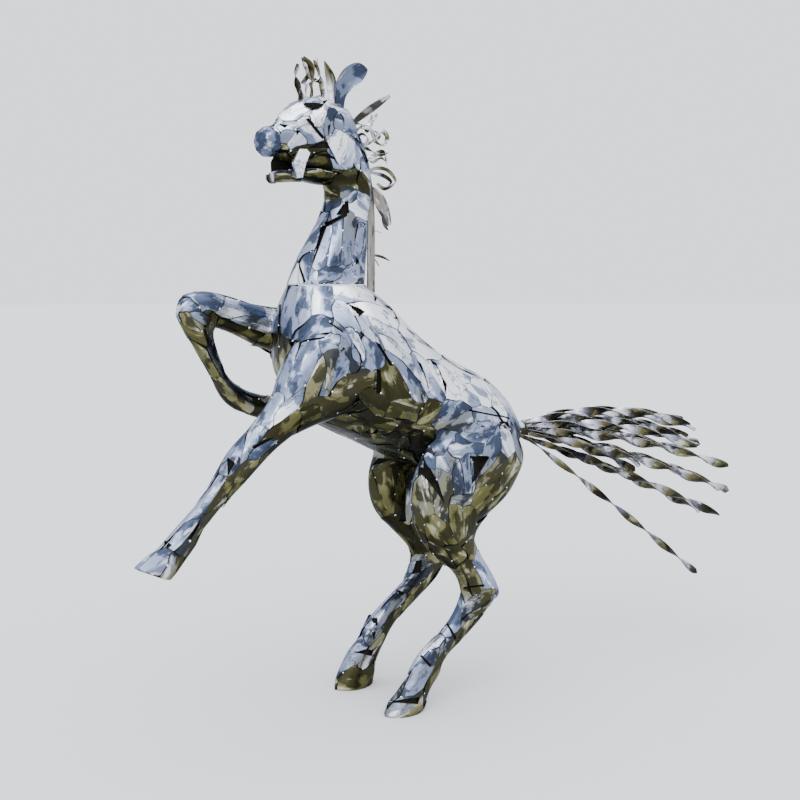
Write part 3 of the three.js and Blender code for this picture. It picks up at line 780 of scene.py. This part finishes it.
# the corners of the dark gaps, in the view
TRUNK_GAPS = [
    [(339, 299), (366, 311), (356, 319), (351, 310)], [(373, 295), (377, 298), (375, 302)],
    [(385, 304), (391, 307), (400, 320), (394, 319)],
    [(375, 341), (380, 344), (393, 366), (389, 365)],
    [(418, 360), (422, 364), (430, 388), (427, 386)],
    [(431, 359), (436, 363), (447, 384), (446, 393)],
    [(375, 369), (380, 370), (381, 394), (375, 391)], [(367, 434), (378, 427), (377, 433)],
    [(406, 433), (415, 429), (424, 431), (422, 448)],
    [(406, 433), (422, 446), (420, 462), (412, 450)],
]
SMALL_TRUNK_GAPS = [
    [(291, 342.5), (292, 344.5), (325, 338), (324, 336.5)],
    [(328, 322), (329, 321), (343, 331), (343, 332.5)],
    [(279, 304), (281, 304), (279, 335), (277, 334)],
    [(469, 409.5), (469, 411), (510, 419), (510, 417.5)],
    [(410, 448), (418, 452), (420, 466), (414, 460)],
]
NECK_GAPS = [
    [(323, 227), (327, 226), (314, 262), (311, 268)], [(352, 266), (355, 254), (360, 262)],
    [(359, 222), (366, 224), (360, 227)], [(325, 223), (346, 213), (347, 216), (327, 227)],
    [(346, 202), (348, 200), (349, 213), (345, 214)], [(336, 215), (346, 200), (347, 215)],
    [(357, 224), (358, 224), (354, 262), (353, 262)],
    [(296, 259), (297.5, 258), (306, 282), (304, 283)],
]
LIMB_GAPS = [
    [(418, 466), (431, 469), (438, 482), (445, 504)], [(470, 456), (489, 457), (472, 484)],
    [(227, 457), (235, 463), (228, 476)], [(165, 541), (172, 545), (167, 549)],
    [(384, 702), (420, 697), (418, 704)], [(354, 652), (373, 649), (372, 656)],
    [(252, 447), (264, 440), (276, 436.5), (254, 449)],
    [(201, 518), (199, 526), (190, 541), (188, 539)],
    [(446, 624), (447.5, 623), (457, 638), (455, 640)],
    [(420, 656), (421.5, 655), (432, 665), (430, 667)],
    [(465, 586), (484, 584.5), (484, 586.5), (465, 588)],
    [(368, 617), (378, 618), (377, 632), (373, 622)],
    [(416, 561), (422, 560), (421, 572), (412, 574)],
    [(397, 590), (404, 592), (404, 595), (400, 595)],
    [(372, 632), (376, 632), (374, 640)], [(404, 502), (406, 521), (398, 523)],
    [(370, 466), (379, 458), (395, 459), (378, 464)],
]

HEAD_GAPS = [
    [(306, 119), (309, 118), (325, 138), (322, 139)],
    [(312, 152), (328, 153), (337, 160), (330, 158)],
    [(301, 101), (303, 107.5), (313, 110), (314, 103.5)],
    [(313, 103.5), (313, 110), (321, 107.5), (328, 100)],
    [(360, 147), (364, 151), (369, 161), (366, 163)],
    [(308, 148), (320, 142), (328, 142), (331, 148)],
    [(278, 124), (288, 125), (285, 128)], [(276, 148), (292, 151), (276, 153)],
    [(328, 126), (330.5, 124), (329, 136)],
    [(296, 130), (300, 131), (297, 135.5)],
]
pieces = {name: Piece(name + "_plates") for name in BODY + HEAD + ["lower_jaw"]}


def dots(form_rims, pieces, form, spacing, radius):
    """Bright tack welds along the borders of the plates."""
    ball = ico(1)
    taken = {}
    for row in form_rims[rng.permutation(len(form_rims))]:
        place, normal = row[:3], row[3:]
        cell = tuple(np.floor(place / spacing).astype(int))
        around = [taken.get((cell[0] + i, cell[1] + j, cell[2] + k), []) for i in (-1, 0, 1)
                  for j in (-1, 0, 1) for k in (-1, 0, 1)]
        if any(np.linalg.norm(p - place) < spacing for near in around for p in near):
            continue
        taken.setdefault(cell, []).append(place)
        if place[2] < 0.02:
            continue
        a = unit(np.cross(normal, [0.3, 0.2, 0.9]))
        frame_of = np.stack([a, np.cross(normal, a), normal * 0.55])
        size = radius * rng.uniform(0.75, 1.3)
        points = place + ball[0] @ frame_of * size
        points += normal * size * 0.1
        pieces[form.node_at(place)].add(points, ball[1], 0, 0.9, 0.02, points)


def ico(level):
    bm = bmesh.new()
    bmesh.ops.create_icosphere(bm, subdivisions=level + 1, radius=1.0)
    points = np.array([v.co for v in bm.verts])
    tris = np.array([[v.index for v in f.verts] for f in bm.faces])
    bm.free()
    return points, tris


body = Form(BODY, 0.008, 6)
body.by_sight(TRUNK_SEEDS)
body.mirror({"trunk"})
body.by_sight(HAUNCH_SEEDS + FORELEG_SEEDS)
body.fill(SIZES)
head = Form(HEAD, 0.005, 8)
head.by_sight(NECK_SEEDS + HEAD_SEEDS)
head.mirror({"neck", "head"})
head.fill(SIZES)
body_gaps = [Opening(body, o) for o in TRUNK_GAPS + SMALL_TRUNK_GAPS + LIMB_GAPS]
body_gaps += [Opening(body, o, True) for o in TRUNK_GAPS]
head_gaps = [Opening(head, o) for o in NECK_GAPS + HEAD_GAPS]
head_gaps += [Opening(head, o, True) for o in NECK_GAPS[:3] + HEAD_GAPS]
body_rims = body.cover(pieces, body_gaps)
head_rims = head.cover(pieces, head_gaps)
jaw = Form(["lower_jaw"], 0.004, 6)
jaw.by_sight(JAW_SEEDS)
jaw.mirror({"lower_jaw"})
jaw.fill(SIZES)
jaw_rims = jaw.cover(pieces, [])
SHIELD = [(326, 141), (331, 134), (338, 130), (347, 135), (353, 142), (354, 158), (350, 168),
          (344, 170), (337, 165)]
BROW = [(277, 117), (281, 110), (299, 99.5), (321, 96), (322, 101), (297, 121), (282, 121)]
head.lay(pieces["head"], SHIELD, 0.008, 1.0)
head.lay(pieces["head"], BROW, 0.004, 0.75)
dots(body_rims, pieces, body, 0.075, 0.0038)
dots(head_rims, pieces, head, 0.06, 0.0032)
dots(jaw_rims, pieces, jaw, 0.05, 0.003)


def lining(name, cell, inward):
    """A near-black lining under the plates: painted shade of the hollow that shows between them."""
    points, tris = form_of([name], cell, 2, 0.0)
    points = points - inward * normals_of(points, tris)
    points[:, 2] = points[:, 2].clip(LINING_LOW)
    return points, tris


for name, piece in pieces.items():
    cell, inward = (0.014, 0.013) if name in ("trunk", "neck") else (0.010, 0.009)
    piece.add(*lining(name, cell, inward), slot=1)
    piece.build([plate_steel, painted_shade_lining], [name], "polished_steel")


# ---- strips, ears, eyes and muzzle ----
def curve_at(path, t):
    """Point on the smooth curve through the points of a path."""
    path = np.array(path, float)
    last = len(path) - 1
    place = np.clip(t, 0, 1) * last
    i = min(int(place), last - 1)
    w = place - i
    before = path[i - 1] if i > 0 else 2 * path[0] - path[1]
    after = path[i + 2] if i + 2 <= last else 2 * path[last] - path[last - 1]
    p0, p1, p2, p3 = before, path[i], path[i + 1], after
    d0, d1, d2 = (np.linalg.norm(b - a) ** 0.5 for a, b in [(p0, p1), (p1, p2), (p2, p3)])
    m1 = ((p1 - p0) / d0 - (p2 - p0) / (d0 + d1) + (p2 - p1) / d1) * d1
    m2 = ((p2 - p1) / d1 - (p3 - p1) / (d1 + d2) + (p3 - p2) / d2) * d1
    return (p1 + m1 * w + (-3 * p1 + 3 * p2 - 2 * m1 - m2) * w ** 2
            + (2 * p1 - 2 * p2 + m1 + m2) * w ** 3)


def strip(piece, path, steps, width_at, turns=0.0, phase=0.0, cup=0.0, thick=3.0, across=4,
          tone=0.0, seed=0):
    """A flat bar with rounded edges along a path in millimetres."""
    rings, sheet = [], []
    length = np.linalg.norm(np.diff(np.array(path, float), axis=0), axis=1).sum() / 1000
    for i in range(steps + 1):
        t = i / steps
        centre = curve_at(path, t)
        along = unit(curve_at(path, min(1, t + 1e-4)) - curve_at(path, max(0, t - 1e-4)))
        level = unit(np.array([0, 1, 0]) - along[1] * along)
        turn = phase + 2 * math.pi * turns * t
        wide = level * math.cos(turn) + np.cross(along, level) * math.sin(turn)
        thin = np.cross(along, wide)
        half = width_at(t) / 2
        lip = min(thick * 0.35, half * 0.3)
        row = [((2 * j / across - 1) * (half - lip), 0.5) for j in range(across + 1)]
        outline = row + [(half, 0.0)] + [(u, -f) for u, f in row[::-1]] + [(-half, 0.0)]
        for u, face in outline:
            lift = face * thick + (cup * u * u / half if half else 0)
            rings.append(centre + wide * u + thin * lift)
            sheet.append([t * length * 0.5 + seed * 0.37, u / 1000 + face * 0.3, seed * 2.3])
    n = len(outline)
    tris = []
    for i in range(steps):
        for k in range(n):
            a, b = i * n + k, i * n + (k + 1) % n
            tris += [(a, b, a + n), (b, b + n, a + n)]
    for k in range(1, n - 1):
        tris += [(0, k + 1, k), (steps * n, steps * n + k, steps * n + k + 1)]
    points = (np.array(rings) + HOOVES) / 1000
    tris = np.array(tris)
    a, b, c = (points[tris[:, i]] for i in range(3))
    if (a * np.cross(b, c)).sum() < 0:
        tris = tris[:, ::-1]
    piece.add(points, tris, 0, tone, 1.0, np.array(sheet))


TAIL_WIDTH, TAIL_ROOT_WIDTH, TAIL_PITCH, TAIL_ROOT_SPACING = 43, 16, 260, 15
LONE, LONE_WIDTH = 18, 33  # the lowest strip of the tail, apart from the others
TAIL_TIP = 0.03  # share of a tail strip's length that narrows to its tip
STEPS_A_TURN = 24
DOCK_END, DOCK_Z = 728, 1002
# end x, y, z, rise of the bow, row from the top, column from the left
TAIL = [
    (1690, -62, 960, 56, 0, 1), (1810, 6, 925, 50, 0, 2), (1810, 78, 955, 50, 0, 3),
    (1660, -128, 865, 48, 1, 0), (1665, -60, 900, 48, 1, 1), (1840, 4, 850, 44, 1, 2),
    (1840, 78, 880, 44, 1, 3), (1780, 150, 905, 46, 1, 4), (2085, 25, 600, 34, 3, 2),
    (1895, -120, 755, 34, 2, 0), (1775, -54, 800, 38, 2, 1), (1940, 14, 760, 36, 2, 2),
    (1820, 84, 800, 38, 2, 3), (1755, 150, 825, 40, 2, 4), (1850, -118, 655, 24, 3, 0),
    (1370, -28, 770, 28, 3, 1), (1900, 92, 680, 30, 3, 3), (1595, 150, 755, 32, 3, 4),
    (1790, -40, 245, 8, 4, 1), (2015, 22, 485, 18, 4, 2), (1965, 100, 500, 20, 4, 3),
]
MANE = [
    ([(-135, 0, 2165), (-60, 0, 2222), (0, 0, 2262), (58, 0, 2300)], 30, 0),
    ([(-105, 14, 2130), (-60, 18, 2178), (-22, 20, 2190), (-8, 18, 2226)], 15, 0.5),
    ([(-90, -12, 2080), (-30, -20, 2130), (10, -24, 2168), (38, -16, 2140), (14, -4, 2112)], 18, 0.75),
    ([(-80, 12, 2040), (-10, 22, 2072), (45, 26, 2096), (58, 20, 2062)], 20, 1),
    ([(-70, -6, 2000), (-10, -10, 2030), (42, -12, 2024), (78, -8, 1984), (36, 2, 1958),
      (6, 8, 1976)], 22, 0.5),
    ([(-50, 4, 1960), (0, 4, 1930), (34, 4, 1880), (58, 4, 1822)], 54, 0),
    ([(-24, 0, 1712), (14, -6, 1706), (52, -10, 1690)], 13, 0.25),
]
FORELOCK = [
    ([(-322, 6, 2220), (-332, 0, 2290), (-346, -6, 2330), (-338, -8, 2372)], 24, 1),
    ([(-286, -4, 2225), (-280, -8, 2310), (-286, -12, 2365), (-320, -14, 2396)], 30, 0.5),
    ([(-262, 22, 2225), (-262, 30, 2310), (-272, 34, 2360), (-292, 36, 2400)], 24, 0.75),
    ([(-240, 0, 2225), (-232, 2, 2290), (-240, 6, 2345), (-262, 8, 2396)], 22, 1),
]


def rounded(t, tip=0.28):
    """Narrows a strip to a round tip over the last part of its length."""
    return math.sqrt(max(0.03, 1 - max(0.0, (t - 1 + tip) / tip) ** 2))


def strip_piece(name, node, material, slot, *args, **options):
    piece = Piece(name)
    strip(piece, *args, **options)
    piece.build([material], [node], slot, 50)


def tail_width(broad):
    """Width along a strip of the tail, full from a quarter of its length on."""
    return lambda t: ((TAIL_ROOT_WIDTH + (broad - TAIL_ROOT_WIDTH) * min(1, 4 * t))
                      * rounded(t, TAIL_TIP))


for i, (x, y, z, rise, row, column) in enumerate(TAIL):
    start = np.array([DOCK_END + 3, (column - 2) * TAIL_ROOT_SPACING,
                      DOCK_Z + (2 - row) * TAIL_ROOT_SPACING])
    end = np.array([x, y, z], float)
    path = [start + t * (end - start) + np.array([0, 0, rise * 4 * t * (1 - t)])
            for t in np.linspace(0, 1, 6)]
    turns = round(np.linalg.norm(end - start) / TAIL_PITCH) / 2
    strip_piece(f"tail_ribbon_{i + 1:02d}", f"tail_strip_{i + 1:02d}", strip_steel, "strip_steel",
                path, int(turns * STEPS_A_TURN), tail_width(LONE_WIDTH if i == LONE else TAIL_WIDTH),
                turns=turns, phase=i, tone=0.0, seed=i)

# thinner curls welded onto a strip's root: its piece, x and y in the view with mm from the middle
# plane, full width, turns
CURLS = [
    ("mane_2", [(352, 128, 10), (357, 124, 14), (363, 126, 18), (368, 131, 20), (372, 124, 16),
                (377, 114, 8)], 14, 1),
    ("mane_3", [(352, 130, 0), (361, 128, 4), (371, 130, 6), (376, 142, 8), (384, 145, 8),
                (386, 137, 4), (380, 131, 0)], 12, 1),
    ("mane_3", [(358, 142, 8), (366, 145, 16), (374, 141, 20), (380, 136, 14), (375, 131, 8)], 11, 1),
    ("mane_4", [(356, 138, -6), (362, 134, -10), (368, 139, -14), (366, 147, -16),
                (373, 152, -10), (381, 155, 0), (388, 153, 6)], 14, 1.25),
    ("mane_4", [(364, 158, -4), (372, 162, -10), (381, 158, -14), (387, 163, -8)], 11, 0.75),
    ("mane_5", [(367, 172, 6), (378, 174, 12), (386, 177, 14), (391, 182, 10),
                (386, 188, 4)], 13, 0.5),
    ("mane_6", [(369, 194, 8), (376, 202, 14), (381, 212, 14), (384, 224, 10),
                (388, 230, 6)], 13, 0.75),
    ("mane_7", [(369, 232, 0), (376, 231, 4), (381, 233, 6)], 7, 0.25),
    ("mane_7", [(370, 255, 0), (376, 261, 6), (379, 266, 8)], 7, 0.25),
    ("forelock_1", [(303, 104, 4), (301, 95, -2), (301, 87, -6)], 26, 0.25),
    ("forelock_3", [(306, 103, 20), (306, 90, 26), (308, 82, 30), (315, 80, 30), (321, 83, 26),
                    (324, 92, 20), (323, 102, 12)], 13, 0.75),
    ("forelock_3", [(314, 82, 30), (319, 76, 32), (318, 68, 34), (317, 58, 34)], 10, 0.5),
    ("forelock_2", [(303, 84, -6), (307, 74, -8), (305, 65, -10), (301, 57, -12)], 14, 0.75),
]


CURL_WIDENING = 1.35


def sighted(rows):
    """Path in millimetres through points given as the view shows them."""
    path = []
    for px, py, middle in rows:
        ray = line_through(px, py)
        path.append((EYE + ray * ((middle + HOOVES[1]) / 1000 - EYE[1]) / ray[1]) * 1000 - HOOVES)
    return path


for name, rows in [("mane", MANE), ("forelock", FORELOCK)]:
    for i, (path, width, turns) in enumerate(rows):
        piece = Piece(f"{name}_curl_{i + 1}")
        strip(piece, path, 16 + int(turns * STEPS_A_TURN) + 4 * len(path),
              lambda t: width * (0.45 + 0.55 * math.sin(math.pi * t)), turns=turns, phase=math.pi / 2,
              tone=-0.3 if (name, i) == ("forelock", 1) else 0.1, seed=20 + i)
        for k, (node, curl, wide, bends) in enumerate(CURLS):
            if node == f"{name}_{i + 1}":
                strip(piece, sighted(curl), 24 + 6 * len(curl),
                      lambda t: CURL_WIDENING * wide * (1 - 0.5 * t * t), turns=bends,
                      phase=math.pi / 2 + k, thick=2.5, tone=0.25, seed=40 + k)
        piece.build([strip_steel], [f"{name}_{i + 1}"], "strip_steel", 50)


LEFT_EAR = [(-190, -36, 2225), (-192, -50, 2285), (-168, -62, 2330), (-130, -70, 2355),
            (-88, -72, 2368)]
RIGHT_EAR = [(-185, 38, 2225), (-160, 52, 2290), (-158, 64, 2350), (-182, 70, 2412)]
strip_piece("left_ear_spoon", "left_ear", cup_steel, "polished_steel", LEFT_EAR, 30,
            lambda t: (38 + 36 * math.sin(math.pi * t ** 1.3)) * rounded(t), phase=math.pi / 2, cup=0.35,
            across=10, tone=0.0, seed=50)
strip_piece("right_ear_leaf", "right_ear", strip_steel, "polished_steel", RIGHT_EAR, 30,
            lambda t: (14 + 24 * math.sin(math.pi * t ** 1.2)) * rounded(t), phase=0.8, cup=0.35, across=8,
            tone=-0.05, seed=51)
CREST = [(-28, 0, 1540), (-27, 0, 1700), (-29, 0, 1880), (-42, 0, 1985), (-62, 0, 2040)]
strip_piece("crest_rail", "crest_bar", strip_steel, "polished_steel", CREST, 60, lambda t: 36,
            phase=math.pi / 2, thick=8, tone=0.25, seed=52)


def smooth_piece(name, node, material, slot, cell, rounds, tone, painted_dark_part=0.0):
    """A node's own form, faired, with the lowest part of its height given the near-black lining material
    as painted shade.
    """
    piece = Piece(name)
    points, tris = form_of([node], cell, rounds, 0.0)
    level = points[:, 2].min() + painted_dark_part * np.ptp(points[:, 2])
    low = (points[tris][:, :, 2].mean(1) < level).astype(int)
    piece.add(points, tris, 0, tone, 1.0, points)
    piece.slots = [low]
    piece.build([material, painted_shade_lining], [node], slot)


smooth_piece("muzzle_shell", "muzzle_cup", cup_steel, "muzzle_steel", 0.004, 12, 0.2)
# the lower 45% of each eye dome is painted shade
smooth_piece("left_eye_dome", "left_eye", eye_steel, "muzzle_steel", 0.0025, 8, 0.5, 0.45)
smooth_piece("right_eye_dome", "right_eye", eye_steel, "muzzle_steel", 0.0025, 8, 0.5, 0.45)
# the far one is painted as shade with the near-black lining material, as it looks dark through the open
# mouth
for side, material, tone in [("left", plate_steel, 1.0), ("right", painted_shade_lining, -1.0)]:
    smooth_piece(side + "_mouth_side", side + "_jaw_plate", material, "polished_steel", 0.003, 3, tone)

# ---- floor, light and camera ----
floor_mesh = bpy.data.meshes.new("floor")
floor_mesh.from_pydata([(FLOOR_REACH * i, FLOOR_REACH * j, 0)
                        for i, j in [(-1, -1), (1, -1), (1, 1), (-1, 1)]], [], [(0, 1, 2, 3)])
floor = linked("floor", floor_mesh)
floor_paint, _, floor_shader = nodes_for("pale_floor")
floor_shader.inputs["Base Color"].default_value = (0.645, 0.657, 0.68, 1)
floor_shader.inputs["Roughness"].default_value = 0.9
floor_mesh.materials.append(floor_paint)

world = bpy.data.worlds.new("studio")
bpy.context.scene.world = world
world.use_nodes = True
world.node_tree.nodes["Background"].inputs[0].default_value = (0.93, 0.95, 1.0, 1)
world.node_tree.nodes["Background"].inputs[1].default_value = 1.7


def soft_sun(name, turn, strength, spread):
    light = bpy.data.lights.new(name, "SUN")
    light.energy = strength
    light.angle = math.radians(spread)
    linked(name, light).rotation_euler = [math.radians(a) for a in turn]


soft_sun("sky", (12, -8, 0), 3.0, 80)
soft_sun("side", (62, 0, -50), 0.9, 50)

camera_data = bpy.data.cameras.new("camera")
camera_data.sensor_width = FILM
camera_data.lens = FOCUS / (2 * MIDDLE) * FILM
camera_data.clip_end = 100
camera = linked("camera", camera_data)
turn = Matrix([RIGHT, UP, -AHEAD]).transposed().to_4x4()
camera.matrix_world = Matrix.Translation(Vector(EYE)) @ turn
bpy.context.scene.camera = camera
